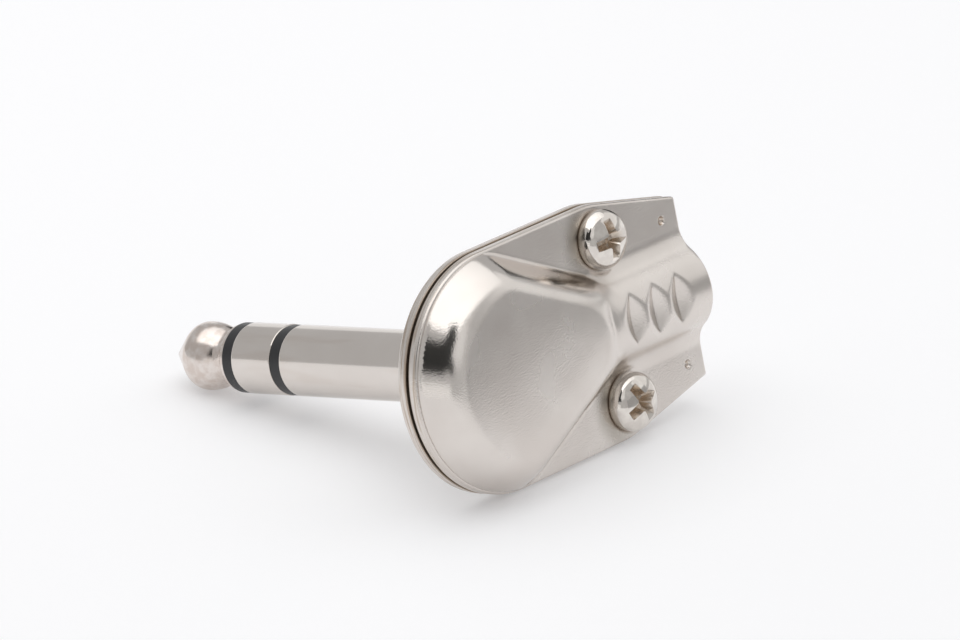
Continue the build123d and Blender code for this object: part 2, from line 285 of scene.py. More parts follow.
# %% The turned contacts
contact_nickel = Finish("contact_nickel", Metallic=1.0)
turning = contact_nickel.noise(900, 1, stretch=(8, 8, 1))
patches = contact_nickel.noise(260, 2)
streaks = contact_nickel.noise(650, 2, stretch=(1, 1, 7)).ramp(0.5, 0.75)
contact = contact_nickel.blend(patches, (0.68, 0.63, 0.59), (0.74, 0.695, 0.655))
contact_nickel.feed("Base Color", contact_nickel.blend(streaks * 0.3, contact, (0.56, 0.48, 0.42)))
contact_nickel.feed("Roughness", 0.09 + patches * 0.07)
contact_nickel.bump(turning, 0.001)

tip_nickel = Finish("tip_nickel", Metallic=1.0)
handling = tip_nickel.noise(1500, 4)
mottled = tip_nickel.blend(handling.ramp(0.35, 0.65), (0.66, 0.58, 0.53), (0.76, 0.70, 0.66))
tip_nickel.feed("Base Color", mottled)
tip_nickel.feed("Roughness", 0.13 + handling * 0.14)
tip_nickel.bump(handling, 0.006)
print("the contacts' finishes:", contact_nickel.material.name, tip_nickel.material.name)

# %% [markdown]
# The screws are the brightest metal here, but plating is thin and dirt stays in their recess.
# The head's crown is part of a ball. How far a point lies below it, nearly enough, tells the
# recess from the crown, so no mask has to be painted.

# %% The screws' plating
head_height = 2.0
crown_radius = 4.2
crown_top = flange_top + head_height

screw_nickel = Finish("screw_nickel", Metallic=1.0)
wear = screw_nickel.noise(1400, 3)
beside = screw_nickel.along((1, 0, 0), (screw_x, 0, 0))
across = screw_nickel.along((0, 1, 0)).size() - screw_y
from_screw = beside * beside + across * across
under_crown = crown_top - from_screw / (2 * crown_radius) - screw_nickel.along((0, 0, 1))
in_recess = under_crown.ramp(0.12, 0.9) * (1 - from_screw.ramp(4.6, 5.2))
plated = screw_nickel.blend(wear.ramp(0.4, 0.7), (0.70, 0.655, 0.61), (0.78, 0.74, 0.69))
screw_nickel.feed("Base Color", screw_nickel.blend(in_recess, plated, (0.62, 0.54, 0.46)))
screw_nickel.feed("Roughness", 0.05 + wear * 0.08 + in_recess * 0.15)
screw_nickel.bump(wear, 0.004)
print("a screw's crown stands", crown_top, "mm over the plate's back face")

# %% [markdown]
# ## Plastics, fibre and solder lugs
#
# The insulator rings are black moulded plastic. Inside the housing are red-brown fibre
# washers, tinned brass lugs and a dark film, which the housing hides from most sides. Their
# CAD shapes stay, and each only gets a finish for its slot in the record.

# %% Insulators and lugs
insulator_black = Finish("insulator_black", Base_Color=(0.012, 0.012, 0.014, 1))
mould = insulator_black.noise(2500, 2)
insulator_black.feed("Roughness", 0.28 + mould * 0.2)
insulator_black.bump(mould, 0.003)

washer_fibre = Finish("washer_fibre")
fibres = washer_fibre.noise(1800, 4)
washer_fibre.feed("Base Color", washer_fibre.blend(fibres, (0.20, 0.05, 0.03), (0.33, 0.11, 0.06)))
washer_fibre.feed("Roughness", 0.6 + fibres * 0.25)
washer_fibre.bump(fibres, 0.01)

liner_film = Finish("liner_film")
ripple = liner_film.noise(350, 2)
liner_film.feed("Base Color", liner_film.blend(ripple, (0.05, 0.05, 0.055), (0.08, 0.08, 0.085)))
liner_film.feed("Roughness", 0.35 + ripple * 0.2)
liner_film.bump(ripple, 0.02)

lug_tin = Finish("lug_tinned_brass", Metallic=1.0)
flow = lug_tin.noise(1200, 3)
tinned = lug_tin.blend(flow.ramp(0.35, 0.65), (0.62, 0.58, 0.48), (0.74, 0.72, 0.68))
lug_tin.feed("Base Color", tinned)
lug_tin.feed("Roughness", 0.22 + flow * 0.2)
lug_tin.bump(flow, 0.008)

inner_finishes = {
    "washer_fibre": washer_fibre,
    "liner_film": liner_film,
    "lug_tinned_brass": lug_tin,
    "insulator_black": insulator_black,
}
for subpart in frame["record"]["subparts"]:
    finish = inner_finishes.get(subpart["material_slot"])
    if finish:
        node = frame["nodes"][subpart["node"]]
        node.data.materials.clear()
        node.data.materials.append(finish.material)
print("finishes:", sorted(m.name for m in bpy.data.materials if m.users))

# %% [markdown]
# ## Drawn sheet metal
#
# The cover was pressed from one flat sheet, so a straight line through it, square to the
# flange, meets its outer face once: the face is a height over a flat outline. That makes it
# easy to describe with a formula, and formulas can be rounded into each other the way sheet
# metal flows. The sheet's underside is a second height, and both are cut to one outline and
# joined by a rolled edge.

# %% Outlines
end_radius = 10.65
taper_start = 14.1
cable_end = 24.8
cable_end_half_width = 8.2
taper_rounding = 8.0
end_rounding = 0.25
outline_step = 0.2


def arc(centre, radius, start, end):
    """Points round a centre, from one compass bearing to another, clockwise from +Y."""
    count = max(2, round(abs(math.radians(end - start)) * radius / outline_step) + 1)
    bearing = np.radians(np.linspace(start, end, count))
    return np.stack([centre[0] + radius * np.sin(bearing), centre[1] + radius * np.cos(bearing)], 1)


def rounded_corner(before, corner, after, radius):
    """The arc that rounds the corner of three points."""
    before, corner, after = (np.array(p, float) for p in (before, corner, after))
    back = (before - corner) / np.linalg.norm(before - corner)
    ahead = (after - corner) / np.linalg.norm(after - corner)
    half = math.acos(back @ ahead) / 2
    middle = (back + ahead) / np.linalg.norm(back + ahead)
    centre = corner + middle * radius / math.sin(half)
    sweep = math.pi - 2 * half
    count = max(3, round(sweep * radius / outline_step) + 1)
    first = corner + back * radius / math.tan(half) - centre
    side = np.sign(back[0] * ahead[1] - back[1] * ahead[0])
    turns = [-side * sweep * k / (count - 1) for k in range(count)]
    x, y = first
    return np.array([
        centre + (x * math.cos(t) - y * math.sin(t), x * math.sin(t) + y * math.cos(t))
        for t in turns
    ])


def evened(points):
    """The same closed line with points at an even step."""
    closed = np.vstack([points, points[:1]])
    lengths = np.r_[0, np.cumsum(np.linalg.norm(np.diff(closed, axis=0), axis=1))]
    places = np.linspace(0, lengths[-1], round(lengths[-1] / outline_step), endpoint=False)
    return np.stack([np.interp(places, lengths, closed[:, k]) for k in (0, 1)], 1)


side, end = (taper_start, end_radius), (cable_end, cable_end_half_width)
below, end_below = (taper_start, -end_radius), (cable_end, -cable_end_half_width)
sheet_outline = evened(np.vstack([
    arc((0, 0), end_radius, -180, 0),
    rounded_corner((0, end_radius), side, end, taper_rounding),
    rounded_corner(side, end, end_below, end_rounding),
    rounded_corner(end, end_below, below, end_rounding),
    rounded_corner(end_below, below, (0, -end_radius), taper_rounding),
]))
print("the sheet's outline has", len(sheet_outline), "points")

# %% [markdown]
# The dome stands on a teardrop: the housing's own round end, a tighter nose towards the
# cable, and two flanks that are eased into the round end. How far a point lies inside that
# line gives the wall's height, because the wall leans by the same angle all round.

# %% The dome's foot
dome_height = 3.55
dome_lean = math.tan(math.radians(31.0))
nose_from_axis = 9.2
nose_radius = 5.45
flank_rounding = 5.0

corner_away = math.hypot(nose_from_axis, end_radius)
flank = math.atan2(end_radius, nose_from_axis) - math.asin(nose_radius / corner_away)
eased = flank - math.acos(
    (end_radius * math.cos(flank) - flank_rounding) / (end_radius - flank_rounding)
)
ease_x = (end_radius - flank_rounding) * math.sin(eased)
ease_y = (end_radius - flank_rounding) * math.cos(eased)
flank, eased = math.degrees(flank), math.degrees(eased)
dome_foot = evened(np.vstack([
    arc((0, 0), end_radius, -180 - eased, eased),
    arc((ease_x, ease_y), flank_rounding, eased, flank),
    arc((nose_from_axis, 0), nose_radius, flank, 180 - flank),
    arc((ease_x, -ease_y), flank_rounding, 180 - flank, 180 - eased),
]))


def depth_inside(points, outline):
    """Distance from each point to a closed outline, positive inside it."""
    start, along = outline, np.roll(outline, -1, axis=0) - outline
    nearest = np.full(len(points), 1e9)
    crossings = np.zeros(len(points), bool)
    for (x, y), (dx, dy) in zip(start, along):
        px, py = points[:, 0] - x, points[:, 1] - y
        share = np.clip((px * dx + py * dy) / (dx * dx + dy * dy), 0, 1)
        nearest = np.minimum(nearest, np.hypot(px - share * dx, py - share * dy))
        crosses = (py < 0) != (py - dy < 0)
        if dy:
            crossings ^= crosses & (px < dx * py / dy)
    return np.where(crossings, nearest, -nearest)


axis_depth = depth_inside(np.zeros((1, 2)), dome_foot)
print("the dome's foot has", len(dome_foot), "points; the axis lies", axis_depth, "mm inside it")

# %% [markdown]
# Two heights meet in a hard crease. Pressed metal can't do that, so the larger or the smaller
# of two heights is taken with a soft corner of a given width.

# %% Heights of the cover
cover_thickness = flange_top - cover_underside
arch_centre = 0.5
arch_radius = 4.4
arch_blend = 2.5


def soft_max(first, second, width):
    near = np.clip(width - np.abs(first - second), 0, None) / width
    return np.maximum(first, second) + near * near * width / 4


def soft_min(first, second, width):
    return -soft_max(-np.asarray(first), -np.asarray(second), width)


def smooth(share):
    """0 below 0, 1 above 1, and a smooth step between them."""
    share = np.clip(share, 0, 1)
    return share * share * (3 - 2 * share)


def arch_height(across, radius, centre, face, blend):
    """A half-round arch over the cable, flared into the flat face on both sides."""
    reach = math.sqrt((radius + blend) ** 2 - (face + blend - centre) ** 2)
    across = np.abs(across)
    arch = centre + np.sqrt(np.clip(radius**2 - across**2, 0, None))
    flare = face + blend - np.sqrt(np.clip(blend**2 - (reach - across) ** 2, 0, None))
    contact = reach * radius / (radius + blend)
    return np.where(across < contact, arch, np.where(across < reach, flare, face))


print("where two equal heights meet, a soft corner 1 mm wide adds", soft_max(0.0, 0.0, 1.0), "mm")

# %% [markdown]
# The three grip dents are struck by a wheel with a sharp rim, held across the channel. Its
# rim is deepest on the channel's crown and leaves a leaf-shaped mark with a ridge line. Two
# small pips near the cable end keep the sheets apart. All are taken off the height, which is
# simpler than cutting a finished mesh and rounds the dents' rims at the same time.

# %% Dents and pips
dent_count = 3
first_dent, dent_pitch = 15.0, 3.0
dent_places = [first_dent + k * dent_pitch for k in range(dent_count)]
dent_depth = 1.0
dent_wheel = 8.0
dent_dome_side, dent_cable_side = 1.57, 1.07
dent_rim_rounding = 0.4
out_of_reach = 99.0
screw_places = ((screw_x, screw_y), (screw_x, -screw_y))
pip_places = ((22.65, 6.6), (22.65, -6.6))
pip_radius, pip_depth, pip_fullness = 0.42, 0.35, 0.7


def strike_dents(height, points, crown, extra):
    """Presses the wheel's rim into the crown; extra is the sheet's own thickness below it."""
    for place in dent_places:
        away = points[:, 0] - place
        rise = np.where(away < 0, -away / dent_dome_side, away / dent_cable_side)
        rim = np.clip(dent_wheel + extra - rise, 0.1, None)
        wheel = crown - dent_depth + dent_wheel - np.sqrt(np.clip(rim**2 - points[:, 1] ** 2, 0, None))
        wheel = np.where(np.abs(points[:, 1]) < rim, wheel, out_of_reach)
        height = soft_min(height, wheel, dent_rim_rounding)
    return height


def punch_pips(height, points):
    for x, y in pip_places:
        away = np.hypot(points[:, 0] - x, points[:, 1] - y) / pip_radius
        height = height - pip_depth * np.clip(1 - away**2, 0, None) ** pip_fullness
    return height


print("dents at", dent_places, "mm and pips at", pip_places)

# %% [markdown]
# Now the heights come together. The wall rises with the depth inside the dome's foot until
# the crown meets it. The crown is a very flat ball, a little lower near its rim. Towards the
# nose the wall turns softer, so that the dome runs down into the channel without a crease, and
# round each screw the form is pressed flat for the head. Each of these is a named number below.

# %% The cover's outer face and its underside
crown_rise = 0.22
crown_flatness = 220
brow_depth, brow_droop = 6, 0.012
nose_brow = 1.9
nose_start, nose_run = 8, 4
nose_half_width, nose_side_run = 1, 4
nose_easing = 0.9
outer_brow_rounding, inner_brow_rounding = 1.8, 1.2
foot_rounding, foot_share, least_rounding = 0.6, 0.7, 0.02
arch_start, arch_onset = 12.5, 0.5
arch_rounding, arch_share, least_arch_rounding = 0.7, 0.9, 0.01
seat_radius, seat_flare = 2.7, 0.5


def cover_face(points, inner=False):
    """Height of the cover's outer face, or of its underside."""
    face = cover_underside if inner else flange_top
    lean_angle = math.atan(dome_lean)
    inset = cover_thickness / math.cos(lean_angle) - cover_thickness * dome_lean if inner else 0
    radius = arch_radius - cover_thickness if inner else arch_radius
    blend = arch_blend + cover_thickness if inner else arch_blend
    arch = arch_height(points[:, 1], radius, arch_centre, face, blend) - face
    depth = depth_inside(points, dome_foot) - inset
    from_middle = points[:, 0] ** 2 + points[:, 1] ** 2
    crown = dome_height + crown_rise - from_middle / crown_flatness
    crown = crown - brow_droop * np.clip(brow_depth - depth, 0, None) ** 2
    along_nose = smooth((points[:, 0] - nose_start) / nose_run)
    beside_nose = smooth((np.abs(points[:, 1]) - nose_half_width) / nose_side_run)
    easing = nose_easing * along_nose * (1 - beside_nose)
    wall = depth / dome_lean + easing * (nose_brow - depth)
    dome = soft_min(wall, crown, (inner_brow_rounding if inner else outer_brow_rounding) + easing)
    from_edge = np.clip(depth_inside(points, sheet_outline), 0, None)
    dome = soft_max(dome, 0, np.clip(foot_share * from_edge, least_rounding, foot_rounding))
    arch = np.clip(arch - arch_onset * np.clip(arch_start - points[:, 0], 0, None) ** 2, 0, None)
    lower = np.minimum(dome, arch)
    rounding = np.clip(arch_share * lower, least_arch_rounding, arch_rounding)
    height = face + soft_max(dome, arch, rounding)
    height = strike_dents(height, points, arch_centre + arch_radius, cover_thickness if inner else 0)
    for x, y in screw_places:
        away = np.hypot(points[:, 0] - x, points[:, 1] - y)
        height = face + (height - face) * smooth((away - seat_radius) / seat_flare)
    return punch_pips(height, points)


print("the dome stands", float(cover_face(np.zeros((1, 2)))[0]), "mm over the plate's back face")


# %% [markdown]
# A sheet's mesh starts from its outline and a grid of points inside it. The grid is fine
# where the form is small, and coarse where it is flat. Triangles are laid over the points,
# the two faces take their heights, and rings of points round the edge roll one into the other.


# %% From two heights to a sheet
roll_points = 5
border_room = 0.08
same_point = 1e-6


def grid(low, high, step):
    xs, ys = (np.arange(low[k], high[k] + same_point, step) for k in (0, 1))
    return np.stack([v.ravel() for v in np.meshgrid(xs, ys)], 1)


def filled(coarse_step, patches):
    """Points inside the sheet: a coarse grid, with finer patches of (low, high, step)."""
    points = grid((-end_radius, -end_radius), (cable_end, end_radius), coarse_step)
    for low, high, step in patches:
        outside = np.any((points < np.array(low) - step / 2) | (points > np.array(high) + step / 2), axis=1)
        points = np.vstack([points[outside], grid(low, high, step)])
    return points


def inset_line(outline, amount):
    along = np.roll(outline, -1, axis=0) - np.roll(outline, 1, axis=0)
    inward = np.stack([along[:, 1], -along[:, 0]], 1)
    return outline + amount * inward / np.linalg.norm(inward, axis=1, keepdims=True)


def sheet_shell(inside, upper, lower, upper_roll, lower_roll):
    """Points and faces of a closed sheet between two heights, with rolled edges."""
    steps = np.radians(np.linspace(0, 90, roll_points))
    border = inset_line(sheet_outline, max(upper_roll, lower_roll))
    inside = inside[depth_inside(inside, border) > border_room]
    flat = np.vstack([border, inside])
    count = len(border)
    loop = [(k, (k + 1) % count) for k in range(count)]
    made = delaunay_2d_cdt([Vector(p) for p in flat], loop, [], 1, same_point)
    source = [group[0] for group in made[3]]
    triangles = [tuple(source[k] for k in face) for face in made[2]]
    top = np.column_stack([flat, upper(flat)])
    bottom = np.column_stack([flat, lower(flat)])
    edge_top, edge_bottom = upper(sheet_outline), lower(sheet_outline)
    rings = [top[:count]]
    for turn in steps[:-1] if upper_roll else []:
        line = inset_line(sheet_outline, upper_roll * (1 - math.sin(turn)))
        rings.append(np.column_stack([line, edge_top - upper_roll * (1 - math.cos(turn))]))
    rings.append(np.column_stack([sheet_outline, edge_top - upper_roll]))
    rings.append(np.column_stack([sheet_outline, edge_bottom + lower_roll]))
    for turn in steps[1:] if lower_roll else []:
        line = inset_line(sheet_outline, lower_roll * (1 - math.cos(turn)))
        rings.append(np.column_stack([line, edge_bottom + lower_roll * (1 - math.sin(turn))]))
    rings.append(bottom[:count])
    points = [top, bottom, *rings[1:-1]]
    starts = [0, *(len(flat) * 2 + k * count for k in range(len(rings) - 2)), len(flat)]
    up = [f if orientation(flat, f) > 0 else f[::-1] for f in triangles]
    faces = up + [tuple(len(flat) + k for k in f[::-1]) for f in up]
    for first, second in zip(starts, starts[1:]):
        for a, b in loop:
            faces.append((first + a, first + b, second + b, second + a))
    return np.vstack(points), faces


def orientation(flat, face):
    a, b, c = (flat[k] for k in face)
    return (b[0] - a[0]) * (c[1] - a[1]) - (b[1] - a[1]) * (c[0] - a[0])


print("a 1 mm grid over the sheet has", len(filled(1.0, [])), "points")

# %% [markdown]
# The cover gets fine patches on its dents and pips. Its edge was sheared: the shear rolls the
# outer side over a little and leaves the other side sharp.

# %% Cover
cover_step, dent_step, pip_step = 0.2, 0.11, 0.07
dent_patch, pip_patch = (12.9, 22.7), 0.9
sheared_roll, sharp_roll = 0.22, 0.05
fine_patches = [((dent_patch[0], -arch_radius), (dent_patch[1], arch_radius), dent_step)]
for x, y in pip_places:
    fine_patches.append(((x - pip_patch, y - pip_patch), (x + pip_patch, y + pip_patch), pip_step))


def cover_inner_face(flat):
    return cover_face(flat, inner=True)


points, faces = sheet_shell(
    filled(cover_step, fine_patches), cover_face, cover_inner_face, sheared_roll, sharp_roll
)
add_piece("drawn_cover", points, faces, housing_nickel.material, "housing_nickel", "cover")

# %% [markdown]
# Much of a plug is round: contacts, rings, collars and screw heads. A lathe makes such a form
# by following a profile, and so does this helper, which turns pairs of radius and height
# round an upright line. Bevel modifiers could round the edges afterwards, but arcs in the
# profile itself give each edge its own size.


# %% Turned forms
def turned(profile, centre=(0, 0), steps=128, closed=False):
    """Points and faces of a profile of (radius, height) pairs, turned round an upright line."""
    bearings = np.linspace(0, 2 * math.pi, steps, endpoint=False)
    points, rings = [], []
    for radius, height in profile:
        count = steps if radius > same_point else 1
        rings.append(range(len(points), len(points) + count))
        for bearing in bearings[:count]:
            x, y = radius * math.cos(bearing), radius * math.sin(bearing)
            points.append((centre[0] + x, centre[1] + y, height))
    pairs = list(zip(rings, rings[1:])) + ([(rings[-1], rings[0])] if closed else [])
    faces = []
    for first, second in pairs:
        for k in range(steps):
            a, b = first[k % len(first)], first[(k + 1) % len(first)]
            d, c = second[k % len(second)], second[(k + 1) % len(second)]
            faces.append(tuple(dict.fromkeys((a, b, c, d))))
    return np.array(points, float), faces


held_away = 0.04


def eased_profile(corners):
    """A profile from (radius, height, rounding) corners, with an arc at each rounding.

    A point just before and after each arc keeps the shading of the long faces flat."""
    made = []
    for k, (radius, height, rounding) in enumerate(corners):
        if not rounding:
            made.append((radius, height))
            continue
        before, after = (np.array(corners[n % len(corners)][:2], float) for n in (k - 1, k + 1))
        arc_points = rounded_corner(before, (radius, height), after, rounding)
        last_place = len(arc_points) + 1
        for end, beyond, place in ((arc_points[0], before, 0), (arc_points[-1], after, last_place)):
            held = end + (beyond - end) * min(0.5, held_away / np.linalg.norm(beyond - end))
            arc_points = np.insert(arc_points, place, held, axis=0)
        made += [tuple(p) for p in arc_points]
    return made


def joined(*forms):
    """One list of points and faces from several."""
    points, faces, start = [], [], 0
    for form_points, form_faces in forms:
        points.append(form_points)
        faces += [tuple(start + k for k in face) for face in form_faces]
        start += len(form_points)
    return np.vstack(points), faces


washer = turned([(1, 0), (2, 0), (2, 1), (1, 1)], steps=8, closed=True)
print("a square washer's section turned in 8 steps has", len(washer[1]), "faces")

# %% [markdown]
# The back plate is a second drawn sheet. Its channel is deeper than the cover's, so that a
# cable lies mostly in the plate, and it ends in a quarter of a ball. It could be cut with
# booleans, but heights give clean faces. A line of points on both sides of the channel's lip
# keeps that edge crisp. The collars round the screws and the coined pads that the cover seats
# on are turned forms, added to the same piece.

# %% Back plate
plate_channel_start = 12.5
plate_arch_centre = 0.9
plate_arch_blend = 1.2
cable_radius = 3.5
plate_step = 0.25
lip_room, lip_half_width = 0.14, 0.02


def across_plate_channel(flat):
    return np.hypot(flat[:, 1], np.clip(plate_channel_start - flat[:, 0], 0, None))


def plate_mating_face(flat):
    across = across_plate_channel(flat)
    hollow = plate_arch_centre - np.sqrt(np.clip(cable_radius**2 - across**2, 0, None))
    return np.where(across < cable_radius, hollow, plate_face)


def plate_back(flat):
    outer = cable_radius + plate_face
    return -arch_height(across_plate_channel(flat), outer, -plate_arch_centre, 0.0, plate_arch_blend)


plate_points = filled(plate_step, [])
lip = np.abs(across_plate_channel(plate_points) - cable_radius) < lip_room
plate_points = plate_points[~lip]
for radius in (cable_radius - lip_half_width, cable_radius + lip_half_width):
    run = np.arange(plate_channel_start, cable_end - 0.2, plate_step)
    plate_points = np.vstack([
        plate_points,
        arc((plate_channel_start, 0), radius, -180, 0)[1:-1],
        np.stack([run, np.full(len(run), radius)], 1),
        np.stack([run, np.full(len(run), -radius)], 1),
    ])
collar_bore, collar_radius, collar_end, collar_root = 1.5, 2.3, -1.2, 0.3
pad_bore, pad_radius, pad_root = 1.6, 2.5, 0.9
pad_bore_edge, pad_bore_drop, pad_rim_edge = 0.05, 0.02, 0.08
collar_steps, collar_round = 64, 0.15
collar = eased_profile([
    (collar_bore, collar_end, 0),
    (collar_radius, collar_end, collar_round),
    (collar_radius, collar_root, 0),
    (collar_bore, collar_root, 0),
])
pad = [
    (pad_bore, pad_root),
    (pad_bore, cover_underside - pad_bore_drop),
    (pad_bore + pad_bore_edge, cover_underside),
    (pad_radius - pad_rim_edge, cover_underside),
    (pad_radius, cover_underside - pad_rim_edge),
    (pad_radius, pad_root),
]
plate_forms = [sheet_shell(plate_points, plate_mating_face, plate_back, sharp_roll, sheared_roll)]
for place in screw_places:
    for profile in (collar, pad):
        plate_forms.append(turned(profile, place, collar_steps, closed=True))
points, faces = joined(*plate_forms)
add_piece("drawn_back_plate", points, faces, housing_nickel.material, "housing_nickel", "back_plate")

# %% [markdown]
# ## The finger
#
# Tip, ring and sleeve were turned in a lathe, so each is one profile turned round the
# finger's axis. The bulb is two arcs in front of a waist: a jack's spring drops into the
# waist and holds the plug. Every edge has the small round that a lathe hand's file leaves,
# and that round is what catches the light between the black rings.

# %% Heights along the finger
barrel_radius = 3.175
sleeve_length, insulator_length, ring_length, tip_length = 16.0, 1.2, 4.8, 8.8
shoulder_face = -shoulder_length
sleeve_end = shoulder_face - sleeve_length
ring_back = sleeve_end - insulator_length
ring_front = ring_back - ring_length
tip_back = ring_front - insulator_length
apex = tip_back - tip_length

ground_lug_top, staked_rim_top = 1.4, 1.8
ring_lug_top, ring_rim_top = 2.6, 2.9
tip_lug_top, rod_head_top = 3.7, 4.3
rod_radius, rod_head_radius = 0.8, 1.7
print("from the shoulder to the apex:", shoulder_face - apex, "mm")

# %% [markdown]
# The tip and the centre rod are one turned piece. Its profile starts with a small round at the
# apex, runs over the bulb and through the waist, and ends at the riveted head inside. A sphere
# would be the quick way, but a real bulb is a cone in front and a long arc behind.

# %% Tip
bulb_radius = 3.08
bulb_from_apex = 4.33
bulb_centre = apex + bulb_from_apex
bulb_front = 1.6
waist_radius = 2.35
waist_from_bulb = 2.6
tip_flare, tip_rim_length, tip_rim_radius = 1.05, 0.4, 3.0
rivet_top_radius, rivet_edge = 1.3, 0.1


def swept(centre, radius, start, end, count):
    """Profile points on an arc; the angle is measured from outwards towards the tip."""
    angles = np.radians(np.linspace(start, end, count))
    return [(centre[0] + radius * math.cos(a), centre[1] - radius * math.sin(a)) for a in angles]


front_centre = (bulb_radius - bulb_front, bulb_centre)
apex_away = math.hypot(front_centre[0], bulb_from_apex)
nose_angle = math.degrees(
    math.atan2(front_centre[0], bulb_from_apex) + math.asin(bulb_front / apex_away)
)
narrowing = bulb_radius - waist_radius
back_radius = (waist_from_bulb**2 + narrowing**2) / (2 * narrowing)
back_angle = math.degrees(math.asin(waist_from_bulb / back_radius))
nose_tip = 0.35
nose_centre = (0, apex + nose_tip / math.sin(math.radians(nose_angle)))
tip_profile = [
    *swept(nose_centre, nose_tip, 90, nose_angle, 8),
    *swept(front_centre, bulb_front, nose_angle, 0, 14),
    *swept((bulb_radius - back_radius, bulb_centre), back_radius, 0, -back_angle, 18)[1:],
    *eased_profile([
        (waist_radius, bulb_centre + waist_from_bulb, 0),
        (waist_radius, tip_back - tip_flare, 0.35),
        (tip_rim_radius, tip_back - tip_rim_length, 0.12),
        (tip_rim_radius, tip_back, 0.06),
        (rod_radius, tip_back, 0),
        (rod_radius, tip_lug_top, 0),
        (rod_head_radius, tip_lug_top, 0),
        (rivet_top_radius, rod_head_top - rivet_edge, 0.2),
        (0, rod_head_top, 0),
    ])[1:],
]
points, faces = turned(tip_profile)
add_piece("turned_tip", points, faces, tip_nickel.material, "contact_nickel", "tip_contact")

# %% [markdown]
# Ring and sleeve are tubes with flanges, and the insulators are short black rings between
# them. All are closed profiles turned round the axis. The insulators sit 0.05 mm below the
# metal, so that they read as separate pieces and not as painted bands.

# %% Ring, sleeve and insulator rings
edge_round = 0.1
ring_tube_radius, ring_bore, ring_rim_radius = 1.6, 1.2, 2.2
ring_profile = eased_profile([
    (barrel_radius, ring_front, edge_round),
    (barrel_radius, ring_back, edge_round),
    (ring_tube_radius, ring_back, 0),
    (ring_tube_radius, ring_lug_top, 0),
    (ring_rim_radius, ring_lug_top, 0),
    (ring_rim_radius, ring_rim_top, edge_round),
    (ring_bore, ring_rim_top, 0),
    (ring_bore, ring_front, 0),
])
points, faces = turned(ring_profile, closed=True)
add_piece("turned_ring", points, faces, contact_nickel.material, "contact_nickel", "ring_contact")

shoulder_radius, shoulder_round = 4.4, 0.3
spigot_radius, staked_rim_radius, sleeve_bore = 3.0, 3.6, 2.1
sleeve_profile = eased_profile([
    (barrel_radius, sleeve_end, edge_round),
    (barrel_radius, shoulder_face, 0.12),
    (shoulder_radius, shoulder_face, shoulder_round),
    (shoulder_radius, 0, shoulder_round),
    (spigot_radius, 0, 0),
    (spigot_radius, ground_lug_top, 0),
    (staked_rim_radius, ground_lug_top, 0),
    (staked_rim_radius, staked_rim_top, 0.15),
    (sleeve_bore, staked_rim_top, 0),
    (sleeve_bore, sleeve_end, 0),
])
points, faces = turned(sleeve_profile, closed=True)
add_piece("turned_sleeve", points, faces, contact_nickel.material, "contact_nickel", "sleeve")

insulator_radius = barrel_radius - 0.05
insulator_round = 0.06
insulators = {
    "front_insulator": (tip_back, ring_front, ring_bore),
    "rear_insulator": (ring_back, sleeve_end, sleeve_bore),
}
for node_name, (low, high, bore) in insulators.items():
    profile = eased_profile([
        (insulator_radius, low, insulator_round),
        (insulator_radius, high, insulator_round),
        (bore, high, 0),
        (bore, low, 0),
    ])
    points, faces = turned(profile, closed=True)
    add_piece(node_name + "_ring", points, faces, insulator_black.material, "insulator_black", node_name)

# %% [markdown]
# ## Screws
#
# Both screws are the same: a pan head with a cross recess and a rolled thread. The head is
# turned, a tapered cross with a conical core is cut from it, and its edges are broken with a
# bevel. Booleans suit this cut, because the recess is pressed into a finished head.

# %% One screw's head
head_radius = 2.65
head_rounding = 1.1
head_foot_edge = 0.08
recess_width, recess_span, recess_depth = 1.05, 4.9, 1.3
core_top_radius, core_top, core_foot_radius, core_foot = 0.95, 2.3, 0.4, 0.5
wing_top = head_height + 0.3
wing_end_room, wing_side_room = 0.2, 0.05
wing_foot_span, wing_foot_width = 0.36, 0.5
broken_edge = 0.11


def plain_object(name, points, faces):
    mesh = bpy.data.meshes.new(name)
    mesh.from_pydata([tuple(p) for p in points], [], [tuple(f) for f in faces])
    shell = bmesh.new()
    shell.from_mesh(mesh)
    bmesh.ops.recalc_face_normals(shell, faces=shell.faces)
    shell.to_mesh(mesh)
    shell.free()
    made = bpy.data.objects.new(name, mesh)
    bpy.context.scene.collection.objects.link(made)
    return made


def applied(made):
    """The object's shape with its modifiers, as a plain mesh; the object is removed."""
    mesh = bpy.data.meshes.new_from_object(made.evaluated_get(bpy.context.evaluated_depsgraph_get()))
    bpy.data.objects.remove(made)
    return mesh


crown_centre = (0, head_height - crown_radius)
round_out = head_radius - head_rounding
round_up = crown_centre[1] + math.sqrt((crown_radius - head_rounding) ** 2 - round_out**2)
meeting = math.degrees(math.atan2(round_up - crown_centre[1], round_out))
head_profile = [
    (0, 0),
    (head_radius - head_foot_edge, 0),
    (head_radius, head_foot_edge),
    *swept((round_out, round_up), head_rounding, 0, -meeting, 12),
    *swept(crown_centre, crown_radius, -meeting, -90, 16)[1:],
]
head_points, head_faces = turned(head_profile, steps=96)
head = plain_object("head", head_points, head_faces)


def cross_wing(turned_by):
    """A wedge of the driver's cross: wide and long at the top, a blade at the bottom."""
    half_span, half_width = recess_span / 2 + wing_end_room, recess_width / 2 + wing_side_room
    foot = (head_height - recess_depth, half_span * wing_foot_span, half_width * wing_foot_width)
    cosine, sine = math.cos(turned_by), math.sin(turned_by)
    corners = []
    for height, span, width in ((wing_top, half_span, half_width), foot):
        for x, y in ((-span, -width), (span, -width), (span, width), (-span, width)):
            corners.append((x * cosine - y * sine, x * sine + y * cosine, height))
    faces = [(0, 1, 2, 3), (7, 6, 5, 4), (0, 4, 5, 1), (1, 5, 6, 2), (2, 6, 7, 3), (3, 7, 4, 0)]
    return plain_object("wing", corners, faces)


